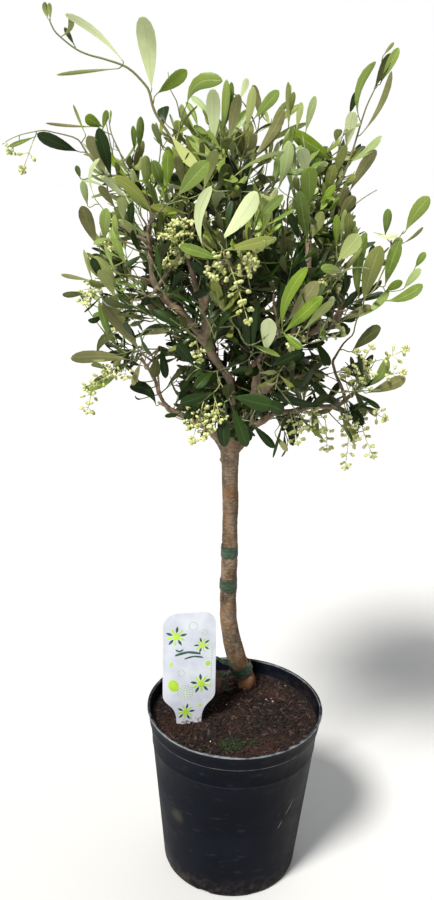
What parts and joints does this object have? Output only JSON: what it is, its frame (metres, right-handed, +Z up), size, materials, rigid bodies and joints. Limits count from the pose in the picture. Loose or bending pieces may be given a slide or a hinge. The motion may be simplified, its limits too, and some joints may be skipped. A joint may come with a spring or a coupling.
{
  "type": "potted olive tree",
  "caption": "Young olive grown as a small standard: a bare leaning stem in a round nursery pot, an open rounded crown with loose shoots and flower sprays, and a plant label.",
  "frame": {"origin": "centre of the pot's flat underside, on the surface that the pot stands on", "axes": "+Z up along the stem; -Y is the front, which the plant label faces; +X is to the right seen from the front"},
  "size_m": [0.4388, 0.3588, 0.979],
  "materials": {
    "pot": "satin",
    "soil": "matte",
    "bark": "matte",
    "leaves": "satin",
    "flowers": "matte",
    "label": "satin",
    "tape": "matte"
  },
  "bodies": {
    "root": {"bough_back": "bark", "bough_back_left": "bark", "bough_back_right": "bark", "bough_centre": "bark", "bough_front": "bark", "bough_left": "bark", "bough_low_front": "bark", "bough_low_left": "bark", "bough_low_right": "bark", "bough_right": "bark", "bough_top": "bark", "bough_upper_right": "bark", "flowers_low_front": "flowers", "flowers_low_left": "flowers", "flowers_low_right": "flowers", "leaves_back": "leaves", "leaves_back_left": "leaves", "leaves_back_right": "leaves", "leaves_fork": "leaves", "leaves_front": "leaves", "leaves_front_left": "leaves", "leaves_front_right": "leaves", "leaves_heart": "leaves", "leaves_left": "leaves", "leaves_low_back": "leaves", "leaves_low_front": "leaves", "leaves_low_left": "leaves", "leaves_low_middle": "leaves", "leaves_low_right": "leaves", "leaves_right": "leaves", "leaves_top": "leaves", "leaves_upper_left": "leaves", "leaves_upper_right": "leaves", "plant_label": "label", "pot": "pot", "shoot_back_far": "leaves", "shoot_back_left": "leaves", "shoot_back_right": "leaves", "shoot_front_left": "leaves", "shoot_front_middle": "leaves", "shoot_front_right": "leaves", "shoot_left_arch": "leaves", "shoot_left_blade": "leaves", "shoot_low_left_blade": "leaves", "shoot_low_right_blade": "leaves", "shoot_right_far": "leaves", "shoot_right_mid": "leaves", "shoot_right_top": "leaves", "shoot_right_upper": "leaves", "shoot_top_back": "leaves", "shoot_top_blade": "leaves", "shoot_top_left": "leaves", "shoot_top_middle": "leaves", "shoot_top_spear": "leaves", "shoot_upper_left": "leaves", "soil": "soil", "tape_foot": "tape", "tape_lower": "tape", "tape_upper": "tape", "trunk": "bark"}
  },
  "joints": []
}
